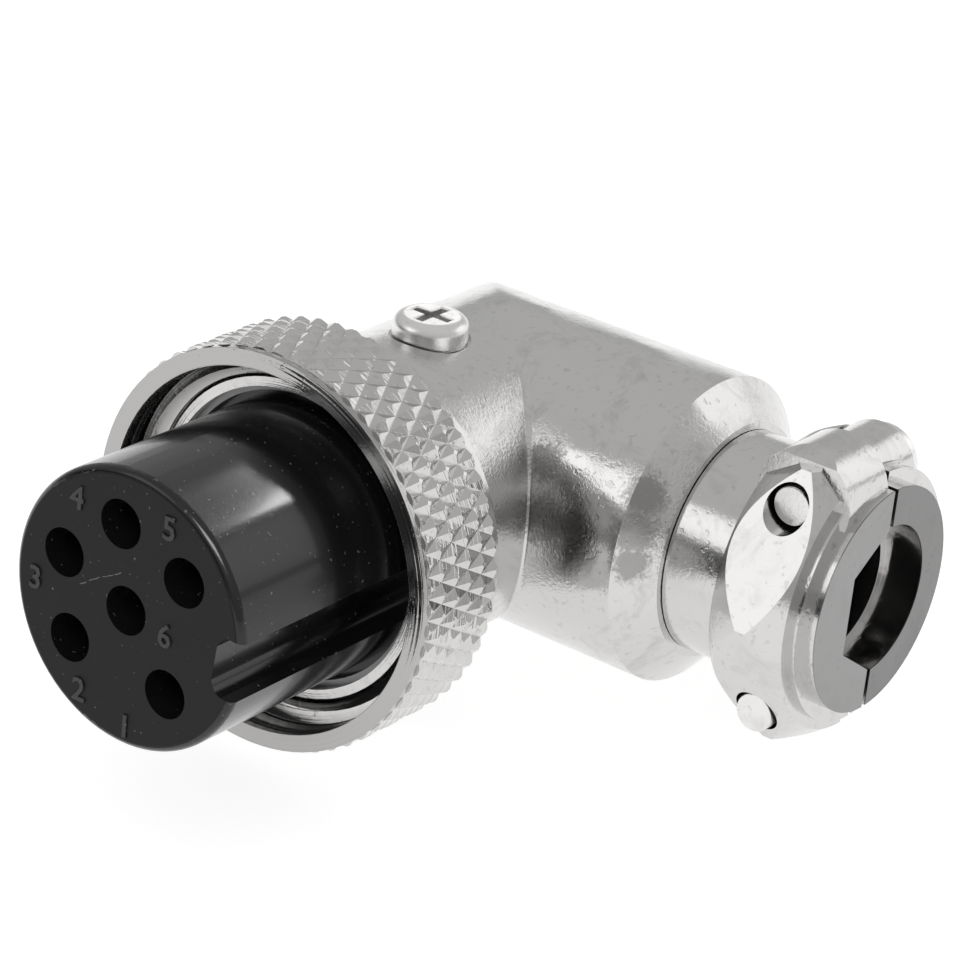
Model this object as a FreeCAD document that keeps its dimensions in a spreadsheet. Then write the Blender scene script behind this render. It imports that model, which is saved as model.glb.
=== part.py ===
import FreeCAD, Part
import Sketcher
import PartDesign
import math
import os
import re

# Right-angle six-contact cable plug, in millimetres.
# The origin is the centre of the mating face, which looks along -Y.
# The cable leaves along +X, and +Z is up. Places along the plug are measured
# forward from the cable axis, which lies at Y = insert_face.

sizes = [
    # name, value or formula, what it measures
    ("insert_face", 25.59, "mating face of the insert, forward of the cable axis"),
    ("housing_radius", 7.29, "both arms of the elbow"),
    ("housing_wall", 0.74, "elbow's wall round the sleeve neck"),
    ("housing_front", 10.6, "front face of the elbow"),
    ("housing_collar_step", 0.26, "thin collar round the elbow's front, beyond the elbow"),
    ("housing_collar_length", 0.5, "length of that collar"),
    ("sleeve_fit", 0.05, "sleeve neck in the elbow, each side"),
    ("sleeve_neck_radius", "=housing_radius - housing_wall - sleeve_fit", "sleeve neck"),
    ("sleeve_neck_wall", 0.7, "wall of the sleeve neck"),
    ("sleeve_step", 0.9, "sleeve head beyond the neck"),
    ("sleeve_radius", "=sleeve_neck_radius + sleeve_step", "sleeve head"),
    ("sleeve_wall", 0.45, "wall of the sleeve head"),
    ("sleeve_front", 15.2, "front rim of the sleeve"),
    ("sleeve_shoulder", 12.45, "step from the head down to the neck"),
    ("sleeve_seat", 13.0, "inner step that the insert's flange sits on"),
    ("sleeve_rear", 3.6, "back end of the sleeve"),
    ("insert_gap", 0.62, "insert to the inside of the sleeve head"),
    ("insert_radius", "=sleeve_radius - sleeve_wall - insert_gap", "insert where it shows"),
    ("insert_edge_round", 0.4, "rounding round the mating face"),
    ("insert_flange_thickness", 1.2, "flange that the ring holds down"),
    ("insert_tail_clearance", 0.1, "insert tail in the sleeve neck, each side"),
    ("insert_rear", 5.2, "back end of the insert, forward of the cable axis"),
    ("hole_radius", 1.1, "contact holes in the insert"),
    ("hole_edge", 1.38, "outer contact holes to the edge of the insert"),
    ("contact_circle", "=insert_radius - hole_radius - hole_edge", "circle that the contacts stand on"),
    ("first_contact_angle", 38.67, "direction of the first outer contact"),
    ("key_angle", -6.27, "direction of the key groove"),
    ("key_width", 2.8, "key groove width"),
    ("key_depth", 1.4, "key groove depth"),
    ("key_round", 0.7, "rounding in the bottom of the key groove"),
    ("contact_clearance", 0.05, "contact in its hole, each side"),
    ("contact_recess", 2.5, "contact mouth below the mating face"),
    ("contact_bore", 0.78, "radius of the socket bore"),
    ("contact_bore_depth", 6.5, "depth of the socket bore"),
    ("contact_slot", 0.3, "slots that let the socket spring"),
    ("contact_slot_length", 5.0, "length of those slots"),
    ("cup_radius", 0.9, "outside of the solder cup"),
    ("cup_bore", 0.62, "inside of the solder cup"),
    ("cup_depth", 2.0, "depth of the solder cup"),
    ("cup_length", 2.6, "solder cup behind the insert"),
    ("cup_window", 1.6, "length of the solder cup's open side"),
    ("ring_thickness", 0.45, "retaining ring along the axis"),
    ("ring_clearance", 0.05, "retaining ring to its neighbours along the axis"),
    ("ring_bite", 0.18, "how far the ring stands into the sleeve's groove"),
    ("ring_reach", 0.28, "how far the ring stands in over the flange"),
    ("ring_opening", 14.0, "angle of the ring's open part"),
    ("ring_open_angle", 118.0, "direction of the ring's open part"),
    ("nut_front", 17.15, "front face of the coupling nut"),
    ("nut_slack", 0.15, "coupling thread to the sleeve head, each side"),
    ("thread_radius", "=sleeve_radius + nut_slack", "inside of the coupling thread"),
    ("thread_step", 0.84, "counterbore beyond the coupling thread"),
    ("thread_entry", 0.4, "length of the slope from the counterbore to the thread"),
    ("nut_mouth_radius", "=thread_radius + thread_step", "counterbore at the nut's mouth"),
    ("nut_mouth_depth", 1.5, "depth of the counterbore"),
    ("nut_rim_wall", 0.81, "front ring of the nut, beyond the counterbore"),
    ("nut_rim_radius", "=nut_mouth_radius + nut_rim_wall", "front ring of the nut"),
    ("nut_rim_length", 0.35, "plain ring before the knurl"),
    ("knurl_back", 12.2, "back end of the knurl"),
    ("knurl_wall", 1.01, "tips of the knurl, beyond the counterbore"),
    ("knurl_top", "=nut_mouth_radius + knurl_wall", "tips of the knurl"),
    ("knurl_depth", 0.24, "depth of the knurl"),
    ("knurl_root", 0.1, "nut's own body below the knurl's valleys"),
    ("knurl_count", 58, "diamonds round the nut"),
    ("knurl_rows", 5, "half rows of diamonds along the nut"),
    ("nut_back_chamfer", 0.5, "chamfer behind the knurl"),
    ("nut_back_wall", 1.05, "plain back part of the nut, beyond the thread"),
    ("nut_back_radius", "=thread_radius + nut_back_wall", "plain back part of the nut"),
    ("nut_lip_thickness", 1.2, "lip that the sleeve head holds"),
    ("nut_play", 0.15, "nut lip to the sleeve shoulder"),
    ("nut_running_gap", 0.2, "nut lip round the sleeve neck"),
    ("chamber_wall", 1.2, "elbow's wall round the wiring chamber"),
    ("chamber_radius", "=housing_radius - chamber_wall", "wiring chamber in both arms"),
    ("shoulder_start", 11.93, "start of the cone at the cable end"),
    ("shoulder_length", 1.42, "length of that cone"),
    ("shoulder_end", "=shoulder_start + shoulder_length", "end of that cone"),
    ("chamber_end_wall", 1.13, "end of the chamber, before the start of the cone"),
    ("chamber_end", "=shoulder_start - chamber_end_wall", "end of the chamber towards the cable"),
    ("shoulder_drop", 1.7, "how far the cone comes in"),
    ("shoulder_radius", "=housing_radius - shoulder_drop", "small end of that cone"),
    ("skirt_step", 0.35, "skirt of the clamp below the small end of the cone"),
    ("skirt_radius", "=shoulder_radius - skirt_step", "round skirt of the clamp"),
    ("skirt_wall", 0.78, "wall of the skirt round the neck"),
    ("skirt_gap", 0.04, "skirt to the elbow's cone"),
    ("skirt_length", 3.35, "skirt and its gap, from the cone to the hexagon"),
    ("neck_fit", 0.08, "clamp thread round the neck, each side"),
    ("neck_radius", "=skirt_radius - skirt_wall - neck_fit", "threaded neck for the clamp"),
    ("neck_wall", 1.2, "wall of the neck"),
    ("neck_bore", "=neck_radius - neck_wall", "cable passage in the neck"),
    ("neck_reach", 0.2, "how far the neck goes into the hexagon"),
    ("neck_end", "=hex_start + neck_reach", "end of the neck"),
    ("neck_end_gap", 0.25, "end of the neck to the clamp's inner step"),
    ("screw_place", 5.9, "sleeve screw, forward of the cable axis"),
    ("screw_head_radius", 1.75, "sleeve screw head"),
    ("screw_head_height", 1.2, "sleeve screw head"),
    ("screw_head_round", 0.55, "rounding of the sleeve screw head"),
    ("screw_shank_radius", 0.95, "sleeve screw shank"),
    ("screw_hole_gap", 0.05, "sleeve screw in its hole, each side"),
    ("screw_seat_depth", 0.25, "seat cut into the elbow for the head"),
    ("screw_seat_margin", 0.12, "seat round the head"),
    ("screw_tip_gap", 0.15, "sleeve screw tip short of the sleeve's inside"),
    ("recess_width", 0.42, "arms of the cross recess"),
    ("recess_length", 2.0, "cross recess from end to end"),
    ("recess_depth", 0.6, "cross recess"),
    ("hex_start", "=shoulder_end + skirt_length", "back face of the hexagon"),
    ("hex_length", 3.75, "length of the hexagon"),
    ("hex_end", "=hex_start + hex_length", "front face of the hexagon, where the end collar starts"),
    ("hex_wall", 1.26, "flats of the hexagon, beyond the skirt"),
    ("hex_flats", "=2 * (skirt_radius + hex_wall)", "across the flats"),
    ("hex_back_chamfer", 1.95, "length of the back chamfer on each corner"),
    ("hex_front_chamfer", 1.3, "length of the front chamfer on each corner"),
    ("hex_chamfer_drop", 1.08, "drop of both chamfers on each corner"),
    ("hex_root", 0.5, "where the round part steps up inside the hexagon"),
    ("saddle_step", 0.91, "back of the saddle, beyond the skirt"),
    ("saddle_radius", "=skirt_radius + saddle_step", "back of the saddle, and the round part in the hexagon"),
    ("collar_drop", 0.2, "end collar below the back of the saddle"),
    ("collar_radius", "=saddle_radius - collar_drop", "end collar"),
    ("collar_lip", 0.35, "length of the end collar's first step"),
    ("collar_length", 0.94, "end collar up to the end face"),
    ("end_drop", 0.65, "end face below the end collar"),
    ("end_radius", "=collar_radius - end_drop", "end face of the clamp"),
    ("clamp_end", "=hex_end + collar_length", "end face, from the plug axis"),
    ("cavity_wall", 1.64, "space inside the clamp, in from the skirt's outside"),
    ("cavity_radius", "=skirt_radius - cavity_wall", "space inside the clamp"),
    ("jaw_lip", 1.2, "thickness of the jaw at the end face"),
    ("jaw_half_mouth", "=saddle_arc", "half height of the jaw at the parting plane"),
    ("jaw_half_floor", 1.85, "half height of the jaw's floor"),
    ("jaw_depth", 2.6, "depth of the jaw"),
    ("parting_gap", 0.3, "gap between the jaw and the saddle"),
    ("split_inset", 0.65, "hexagon behind the saddle"),
    ("split_start", "=hex_start + split_inset", "where the clamp is cut away for the saddle"),
    ("saddle_gap", 0.15, "saddle to the clamp along the cable"),
    ("saddle_arc_step", 0.1, "inner arc of the saddle, in from the space inside the clamp"),
    ("saddle_arc", "=cavity_radius - saddle_arc_step", "inner arc of the saddle"),
    ("saddle_rib_height", 0.45, "rib on the inner arc"),
    ("saddle_rib", "=saddle_arc - saddle_rib_height", "inside of that rib"),
    ("saddle_rib_width", 0.8, "width of that rib"),
    ("clamp_screw_inset", 2.0, "clamp screws, in front of the hexagon's back face"),
    ("clamp_screw_x", "=hex_start + clamp_screw_inset", "clamp screws, from the plug axis"),
    ("clamp_screw_drop", 0.34, "clamp screws, in from the skirt's outside"),
    ("clamp_screw_offset", "=skirt_radius - clamp_screw_drop", "clamp screws, from the cable axis"),
    ("clamp_screw_radius", 0.9, "clamp screw shank"),
    ("clamp_hole_gap", 0.15, "each clamp screw in its hole, each side"),
    ("clamp_head_radius", 1.7, "clamp screw head"),
    ("clamp_head_height", 1.1, "clamp screw head"),
    ("clamp_head_round", 0.45, "rounding of the clamp screw heads"),
    ("clamp_head_margin", 0.2, "seat round each clamp screw head"),
    ("head_room", 0.4, "clamp cut away below each head, for the saddle's way in"),
    ("boss_radius", 2.35, "barrel round the upper clamp screw"),
    ("ear_step", 0.35, "ear of the saddle at the upper screw, inside the barrel"),
    ("ear_radius", "=boss_radius - ear_step", "that ear"),
    ("lower_ear_radius", 1.45, "ear of the saddle at the lower screw"),
    ("boss_reach", 3.3, "upper barrel on the jaw side, from the cable axis"),
    ("boss_slope", 1.02, "slope at the end of the upper barrel, beyond the hexagon's flats"),
    ("boss_slope_angle", 120.0, "direction of that slope, past the hexagon's upper corner"),
    ("ear_thickness", 2.7, "face that the heads sit on, from the cable axis"),
    ("upper_tip", 4.25, "upper screw tip, beyond the cable axis"),
    ("lower_tip", 4.95, "lower screw tip, beyond the cable axis"),
    ("past", 1.0, "how far a cutting shape runs past what it cuts"),
]

names = {name for name, value, note in sizes}
contact_steps = [270.0, 180.0, 120.0, 60.0, 0.0]  # contacts 1 to 5; contact 6 is in the middle

doc = FreeCAD.newDocument("RightAnglePlug")


def make_sheet():
    sheet = doc.addObject("Spreadsheet::Sheet", "Sizes")
    for row, (name, value, note) in enumerate(sizes, start=1):
        sheet.set("A%d" % row, name)
        sheet.setAlias("B%d" % row, name)
        sheet.set("C%d" % row, note)
    for row, (name, value, note) in enumerate(sizes, start=1):
        sheet.set("B%d" % row, str(value))
    doc.recompute()
    return sheet


sheet = make_sheet()


def size(name):
    return float(getattr(sheet, name))


def formula(text):
    """Put the sheet's name before each size in a formula."""
    def full(word):
        return "Sizes." + word.group(0) if word.group(0) in names else word.group(0)
    return re.sub(r"[a-z][a-z_0-9]+", full, str(text))


def bind(item, place, text):
    item.setExpression(place, formula(text))


# Frames: a turned piece is drawn with its axis along its own Z.
forward = FreeCAD.Rotation(FreeCAD.Vector(1, 0, 0), 90)  # own Z becomes -Y, own Y becomes +Z
outward = FreeCAD.Rotation(FreeCAD.Vector(1, 1, 1), 120)  # own Z becomes +X, own X becomes +Y
backward = FreeCAD.Rotation(FreeCAD.Vector(1, 0, 0), -90)  # own Z becomes +Y
upright = FreeCAD.Rotation()


def place(item, rotation, base):
    """Turn a piece and put it at a base that is counted from the crossing of the two axes."""
    item.Placement = FreeCAD.Placement(FreeCAD.Vector(0, 0, 0), rotation)
    for axis, text in zip("xyz", base):
        if axis == "y":
            text = "insert_face + (%s)" % text
        bind(item, "Placement.Base.%s" % axis, text)


def new_body(label, rotation=upright, base=(0, 0, 0)):
    body = doc.addObject("PartDesign::Body", label)
    body.Label = label
    place(body, rotation, base)
    return body


def origin_plane(body, role):
    for feature in body.Origin.OriginFeatures:
        if feature.Role == role:
            return feature
    raise ValueError(role)


def new_sketch(body, name, role, offset=0, turn=0):
    sketch = body.newObject("Sketcher::SketchObject", body.Label + "_" + name)
    sketch.AttachmentSupport = (origin_plane(body, role), [""])
    sketch.MapMode = "FlatFace"
    if offset != 0:
        bind(sketch, "AttachmentOffset.Base.z", offset)
    if turn != 0:
        bind(sketch, "AttachmentOffset.Rotation.Angle", turn)
    return sketch


def add_outline(sketch, points):
    """Closed or open chain of lines; each point is given by two formulas."""
    first = sketch.GeometryCount
    count = len(points)
    start = [FreeCAD.Vector(10 * math.cos(2 * math.pi * k / count), 10 * math.sin(2 * math.pi * k / count), 0)
             for k in range(count)]
    for k in range(count):
        sketch.addGeometry(Part.LineSegment(start[k], start[(k + 1) % count]), False)
    for k in range(count):
        following = first + (k + 1) % count
        sketch.addConstraint(Sketcher.Constraint("Coincident", first + k, 2, following, 1))
    for k, (across, along) in enumerate(points):
        for kind, text, value in (("DistanceX", across, start[k].x), ("DistanceY", along, start[k].y)):
            index = sketch.addConstraint(Sketcher.Constraint(kind, -1, 1, first + k, 1, value))
            bind(sketch, "Constraints[%d]" % index, text)


def add_circle(sketch, radius, across=0, along=0):
    circle = sketch.addGeometry(Part.Circle(FreeCAD.Vector(1, 1, 0), FreeCAD.Vector(0, 0, 1), 1), False)
    index = sketch.addConstraint(Sketcher.Constraint("Radius", circle, 1.0))
    bind(sketch, "Constraints[%d]" % index, radius)
    for kind, text in (("DistanceX", across), ("DistanceY", along)):
        index = sketch.addConstraint(Sketcher.Constraint(kind, -1, 1, circle, 3, 1.0))
        bind(sketch, "Constraints[%d]" % index, text)


def turned(body, name, points, cut=False, angle=None):
    """Turn an outline of (radius, height) round the body's own Z."""
    sketch = new_sketch(body, name, "XZ_Plane")
    add_outline(sketch, points)
    kind = "PartDesign::Groove" if cut else "PartDesign::Revolution"
    feature = body.newObject(kind, sketch.Label + "_turn")
    feature.Profile = sketch
    feature.ReferenceAxis = (sketch, ["V_Axis"])
    if angle is None:
        feature.Angle = 360
    else:
        bind(feature, "Angle", angle)
    return feature


def raised(body, sketch, length):
    feature = body.newObject("PartDesign::Pad", sketch.Label + "_pad")
    feature.Profile = sketch
    bind(feature, "Length", length)
    return feature


def cut(body, sketch, length=None):
    """Cut against the sketch's normal, by a length or all the way."""
    feature = body.newObject("PartDesign::Pocket", sketch.Label + "_cut")
    feature.Profile = sketch
    if length is None:
        feature.Type = "ThroughAll"
    else:
        bind(feature, "Length", length)
    return feature


def dress(body, kind, amount, choose):
    """Round or chamfer the edges of the body's tip that the test picks."""
    doc.recompute()
    base = body.Tip
    picked = ["Edge%d" % (k + 1) for k, edge in enumerate(base.Shape.Edges) if choose(edge)]
    if not picked:
        raise RuntimeError("no edge found for " + body.Label + " " + kind)
    feature = body.newObject("PartDesign::" + kind, body.Label + "_" + kind.lower())
    feature.Base = (base, picked)
    bind(feature, "Radius" if kind == "Fillet" else "Size", amount)
    return feature


def is_ring(edge, radius, height, slack=0.02):
    """A full circle of this radius round the body's own Z, at this height."""
    curve = edge.Curve
    if not isinstance(curve, Part.Circle) or abs(curve.Radius - radius) > slack:
        return False
    centre = curve.Center
    return abs(centre.x) < slack and abs(centre.y) < slack and abs(centre.z - height) < slack


def is_line_along(edge, reach, slack=0.02):
    """A straight edge along the body's own Z, at this distance from it."""
    if not isinstance(edge.Curve, Part.Line) or abs(edge.tangentAt(edge.FirstParameter).z) < 0.99:
        return False
    middle = edge.CenterOfMass
    return abs(math.hypot(middle.x, middle.y) - reach) < slack


# Socket insert: moulded, with six holes and a key groove along its side.
def make_insert():
    body = new_body("socket_insert", forward)
    flange_front = "sleeve_seat + insert_flange_thickness"
    tail = "sleeve_neck_radius - sleeve_neck_wall - insert_tail_clearance"
    turned(body, "form", [
        (0, "insert_rear"),
        (tail, "insert_rear"),
        (tail, "sleeve_seat"),
        ("sleeve_radius - sleeve_wall - insert_tail_clearance", "sleeve_seat"),
        ("sleeve_radius - sleeve_wall - insert_tail_clearance", flange_front),
        ("insert_radius", flange_front),
        ("insert_radius", "insert_face"),
        (0, "insert_face"),
    ])
    rim = (size("insert_radius"), size("insert_face"))
    dress(body, "Fillet", "insert_edge_round", lambda e: is_ring(e, *rim))
    holes = new_sketch(body, "holes", "XY_Plane", "insert_face")
    add_circle(holes, "hole_radius")
    for step in contact_steps:
        angle = "(first_contact_angle + %g)" % step
        add_circle(holes, "hole_radius", "contact_circle * cos%s" % angle, "contact_circle * sin%s" % angle)
    cut(body, holes)
    groove = new_sketch(body, "key", "XY_Plane", "insert_face", "key_angle")
    floor = "insert_radius - key_depth"
    add_outline(groove, [
        (floor, "-key_width / 2"),
        ("insert_radius + key_depth", "-key_width / 2"),
        ("insert_radius + key_depth", "key_width / 2"),
        (floor, "key_width / 2"),
    ])
    cut(body, groove, "insert_face - sleeve_seat - insert_flange_thickness")
    reach = math.hypot(size("insert_radius") - size("key_depth"), size("key_width") / 2)
    dress(body, "Fillet", "key_round", lambda e: is_line_along(e, reach))
    return body


# Contacts: turned sockets with a slotted mouth and a solder cup behind the insert.
def make_contact(number, across, up):
    body = new_body("contact_%d" % number, forward, (across, 0, up))
    mouth = "insert_face - contact_recess"
    back = "insert_rear - cup_length"
    outside = "hole_radius - contact_clearance"
    turned(body, "form", [
        ("cup_bore", back),
        ("cup_radius", back),
        ("cup_radius", "insert_rear - 2 * contact_clearance"),
        (outside, "insert_rear - 2 * contact_clearance"),
        (outside, mouth),
        ("contact_bore", mouth),
        ("contact_bore", mouth + " - contact_bore_depth"),
        (0, mouth + " - contact_bore_depth"),
        (0, back + " + cup_depth"),
        ("cup_bore", back + " + cup_depth"),
    ])
    slots = new_sketch(body, "slots", "XY_Plane", mouth)
    add_outline(slots, [
        ("-hole_radius", "-contact_slot / 2"),
        ("hole_radius", "-contact_slot / 2"),
        ("hole_radius", "contact_slot / 2"),
        ("-hole_radius", "contact_slot / 2"),
    ])
    cut(body, slots, "contact_slot_length")
    opened = new_sketch(body, "cup", "XY_Plane", back + " + cup_window")
    add_outline(opened, [
        ("-hole_radius", "cup_bore / 3"),
        ("hole_radius", "cup_bore / 3"),
        ("hole_radius", "hole_radius"),
        ("-hole_radius", "hole_radius"),
    ])
    cut(body, opened, "cup_depth")
    return body


# Front sleeve: holds the insert, carries the nut and goes into the elbow.
def make_sleeve():
    body = new_body("front_sleeve", forward)
    bore = "sleeve_radius - sleeve_wall"
    neck_bore = "sleeve_neck_radius - sleeve_neck_wall"
    groove_radius = bore + " + ring_bite + ring_clearance"
    groove_back = "sleeve_seat + insert_flange_thickness"
    groove_front = groove_back + " + ring_thickness + 2 * ring_clearance"
    turned(body, "form", [
        (neck_bore, "sleeve_rear"),
        ("sleeve_neck_radius", "sleeve_rear"),
        ("sleeve_neck_radius", "sleeve_shoulder"),
        ("sleeve_radius", "sleeve_shoulder"),
        ("sleeve_radius", "sleeve_front"),
        (bore, "sleeve_front"),
        (bore, groove_front),
        (groove_radius, groove_front),
        (groove_radius, groove_back),
        (bore, groove_back),
        (bore, "sleeve_seat"),
        (neck_bore, "sleeve_seat"),
    ])
    hole = new_sketch(body, "screw_hole", "XZ_Plane", "sleeve_neck_wall + past - sleeve_neck_radius")
    add_circle(hole, "screw_shank_radius + screw_hole_gap", 0, "screw_place")
    cut(body, hole, "sleeve_neck_wall + 2 * past")
    return body


def make_ring():
    body = new_body("insert_retaining_ring", forward)
    inner = "sleeve_radius - sleeve_wall - ring_reach"
    outer = "sleeve_radius - sleeve_wall + ring_bite"
    back = "sleeve_seat + insert_flange_thickness + ring_clearance"
    feature = turned(body, "form", [
        (inner, back),
        (outer, back),
        (outer, back + " + ring_thickness"),
        (inner, back + " + ring_thickness"),
    ], angle="360 - ring_opening")
    spin = FreeCAD.Rotation(FreeCAD.Vector(0, 0, 1), -size("ring_open_angle") + size("ring_opening") / 2)
    place(body, forward * spin, (0, 0, 0))
    return body


# Coupling nut: a turned ring with a diamond knurl, free to spin on the sleeve.
def knurl_band():
    count = max(3, int(round(size("knurl_count"))))
    rows = max(2, int(round(size("knurl_rows"))))
    top = size("knurl_top")
    valley = top - size("knurl_depth")
    inside = (size("nut_mouth_radius") + valley) / 2
    back = size("knurl_back")
    front = size("nut_front") - size("nut_rim_length")
    step = (front - back) / rows
    half_turn = math.pi / count

    def point(radius, column, row):
        angle = column * half_turn
        return FreeCAD.Vector(radius * math.cos(angle), radius * math.sin(angle), back + row * step)

    faces = []
    for row in range(rows + 1):
        for number in range(count):
            column = 2 * number + row % 2
            tip = point(top, column, row)
            left = point(valley, column - 1, row)
            right = point(valley, column + 1, row)
            for beyond, inward in ((row + 1, row < rows), (row - 1, row > 0)):
                if inward:
                    corner = point(valley, column, beyond)
                    faces.append(Part.Face(Part.makePolygon([tip, left, corner, tip])))
                    faces.append(Part.Face(Part.makePolygon([tip, corner, right, tip])))
    for row, height in ((0, back), (rows, front)):
        rim = []
        for column in range(2 * count):
            radius = top if column % 2 == row % 2 else valley
            rim.append(point(radius, column, row))
        outer = Part.makePolygon(rim + [rim[0]])
        circle = Part.Circle(FreeCAD.Vector(0, 0, height), FreeCAD.Vector(0, 0, 1), inside)
        faces.append(Part.makeFace([outer, Part.Wire(circle.toShape())], "Part::FaceMakerBullseye"))
    faces.append(Part.makeCylinder(inside, front - back, FreeCAD.Vector(0, 0, back)).Faces[0])
    shell = Part.makeShell(faces)
    shell.sewShape()
    band = Part.makeSolid(shell)
    if band.Volume < 0:
        band.reverse()
    return band


def make_nut():
    core = new_body("coupling_nut_core", forward)
    valley = "knurl_top - knurl_depth"
    lip_front = "sleeve_shoulder - nut_play"
    back = lip_front + " - nut_lip_thickness"
    turned(core, "form", [
        ("sleeve_neck_radius + nut_running_gap", back),
        ("nut_back_radius", back),
        ("nut_back_radius", "knurl_back - nut_back_chamfer"),
        (valley + " - knurl_root", "knurl_back"),
        (valley + " - knurl_root", "nut_front - nut_rim_length"),
        ("nut_rim_radius", "nut_front - nut_rim_length"),
        ("nut_rim_radius", "nut_front"),
        ("nut_mouth_radius", "nut_front"),
        ("nut_mouth_radius", "nut_front - nut_mouth_depth"),
        ("thread_radius", "nut_front - nut_mouth_depth - thread_entry"),
        ("thread_radius", lip_front),
        ("sleeve_neck_radius + nut_running_gap", lip_front),
    ])
    knurl = doc.addObject("Part::Feature", "coupling_nut_knurl")
    knurl.Shape = knurl_band()
    place(knurl, forward, (0, 0, 0))
    nut = doc.addObject("Part::Fuse", "coupling_nut")
    nut.Base = core
    nut.Tool = knurl
    nut.Label = "coupling_nut"
    return nut


# Elbow: two equal arms that meet in a mitre, with the wiring chamber inside.
def cylinder(label, radius, height, rotation, base):
    item = doc.addObject("Part::Cylinder", label)
    bind(item, "Radius", radius)
    bind(item, "Height", height)
    place(item, rotation, base)
    return item


def mitred_arm(label, radius, reach, rotation, axis, side, turn):
    """A cylinder that runs past the corner and is cut there by the mitre plane."""
    beyond = "(%s + past)" % radius
    base = [0, 0, 0]
    base["xyz".index(axis)] = "%d * %s" % (side, beyond)
    arm = cylinder(label + "_round", radius, "%s + %s" % (reach, beyond), rotation, base)
    block = doc.addObject("Part::Box", label + "_mitre")
    width = "(4 * %s)" % radius
    for edge in ("Length", "Width", "Height"):
        bind(block, edge, width)
    shift = "%d * %s / (2 * sqrt(2))"
    sign = 1 if turn < 180 else -1
    place(block, FreeCAD.Rotation(FreeCAD.Vector(0, 0, 1), turn),
          (shift % (sign, width), shift % (-sign, width), "-%s / 2" % width))
    piece = doc.addObject("Part::Cut", label)
    piece.Base = arm
    piece.Tool = block
    return piece


def mitred_elbow(label, radius, plug_reach, cable_reach):
    plug_arm = mitred_arm(label + "_plug_arm", radius, plug_reach, forward, "y", 1, 45)
    cable_arm = mitred_arm(label + "_cable_arm", radius, cable_reach, outward, "x", -1, 225)
    elbow = doc.addObject("Part::Fuse", label)
    elbow.Base = plug_arm
    elbow.Tool = cable_arm
    return elbow


def make_housing():
    outside = mitred_elbow("elbow_outside", "housing_radius", "housing_front", "shoulder_start")
    cable_end = new_body("elbow_cable_end", outward)
    turned(cable_end, "form", [
        (0, "shoulder_start"),
        ("housing_radius", "shoulder_start"),
        ("shoulder_radius", "shoulder_end"),
        ("neck_radius", "shoulder_end"),
        ("neck_radius", "neck_end"),
        (0, "neck_end"),
    ])
    collar = cylinder("elbow_collar", "housing_radius + housing_collar_step",
                      "housing_collar_length", forward, (0, "housing_collar_length - housing_front", 0))
    solid = doc.addObject("Part::MultiFuse", "elbow_solid")
    solid.Shapes = [outside, cable_end, collar]
    chamber = mitred_elbow("elbow_chamber", "chamber_radius", "sleeve_rear + past", "chamber_end")
    sleeve_bore = cylinder("elbow_sleeve_bore", "sleeve_neck_radius + sleeve_fit",
                           "housing_front - sleeve_rear + sleeve_fit + past", forward,
                           (0, "sleeve_fit - sleeve_rear", 0))
    passage = cylinder("elbow_passage", "neck_bore", "neck_end - chamber_end + 2 * past", outward,
                       ("chamber_end - past", 0, 0))
    seat = cylinder("elbow_screw_seat", "screw_head_radius + screw_seat_margin",
                    "screw_seat_depth + past", upright,
                    (0, "-screw_place", "housing_radius - screw_seat_depth"))
    hole = cylinder("elbow_screw_hole", "screw_shank_radius + screw_hole_gap", "housing_radius", upright,
                    (0, "-screw_place", "sleeve_neck_radius - sleeve_neck_wall"))
    hollow = doc.addObject("Part::MultiFuse", "elbow_hollow")
    hollow.Shapes = [chamber, sleeve_bore, passage, seat, hole]
    housing = doc.addObject("Part::Cut", "elbow_housing")
    housing.Base = solid
    housing.Tool = hollow
    housing.Label = "elbow_housing"
    return housing


# Screws: a rounded head with a cross recess, and a plain shank in place of the thread.
def make_screw(label, rotation, base, head_radius, head_height, head_round, shank_radius, shank_length):
    body = new_body(label, rotation, base)
    turned(body, "form", [
        (0, "-(%s)" % shank_length),
        (shank_radius, "-(%s)" % shank_length),
        (shank_radius, 0),
        (head_radius, 0),
        (head_radius, head_height),
        (0, head_height),
    ])
    dress(body, "Fillet", head_round, lambda e: is_ring(e, size(head_radius), size(head_height)))
    recess = new_sketch(body, "recess", "XY_Plane", head_height)
    wide, long_end = "recess_width / 2", "recess_length / 2"
    corners = []
    for x_sign, y_sign, tall_first in ((1, 1, False), (-1, 1, True), (-1, -1, False), (1, -1, True)):
        trio = [(long_end, wide), (wide, wide), (wide, long_end)]
        if tall_first:
            trio.reverse()
        for across, along in trio:
            corners.append(("%d * %s" % (x_sign, across), "%d * %s" % (y_sign, along)))
    add_outline(recess, corners)
    cut(body, recess, "recess_depth")
    return body


# Clamp: a hexagonal gland with a fixed jaw, and the saddle that two screws draw in.
def hex_corner(k):
    reach = "hex_flats / (2 * cos(30))"
    return ("%s * cos(%d)" % (reach, 60 * k), "%s * sin(%d)" % (reach, 60 * k))


def add_screw_circles(sketch, radius):
    """A circle round each clamp screw, in a sketch on the YZ plane."""
    for side in (1, -1):
        add_circle(sketch, radius, "%d * clamp_screw_offset" % side, "clamp_screw_x")


def cut_head_seats(body, floor):
    """Room for the screw heads, from this distance off the cable axis outward."""
    seats = new_sketch(body, "head_seats", "YZ_Plane", "hex_flats")
    add_screw_circles(seats, "clamp_head_radius + clamp_head_margin")
    cut(body, seats, "hex_flats - (%s)" % floor)


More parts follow.
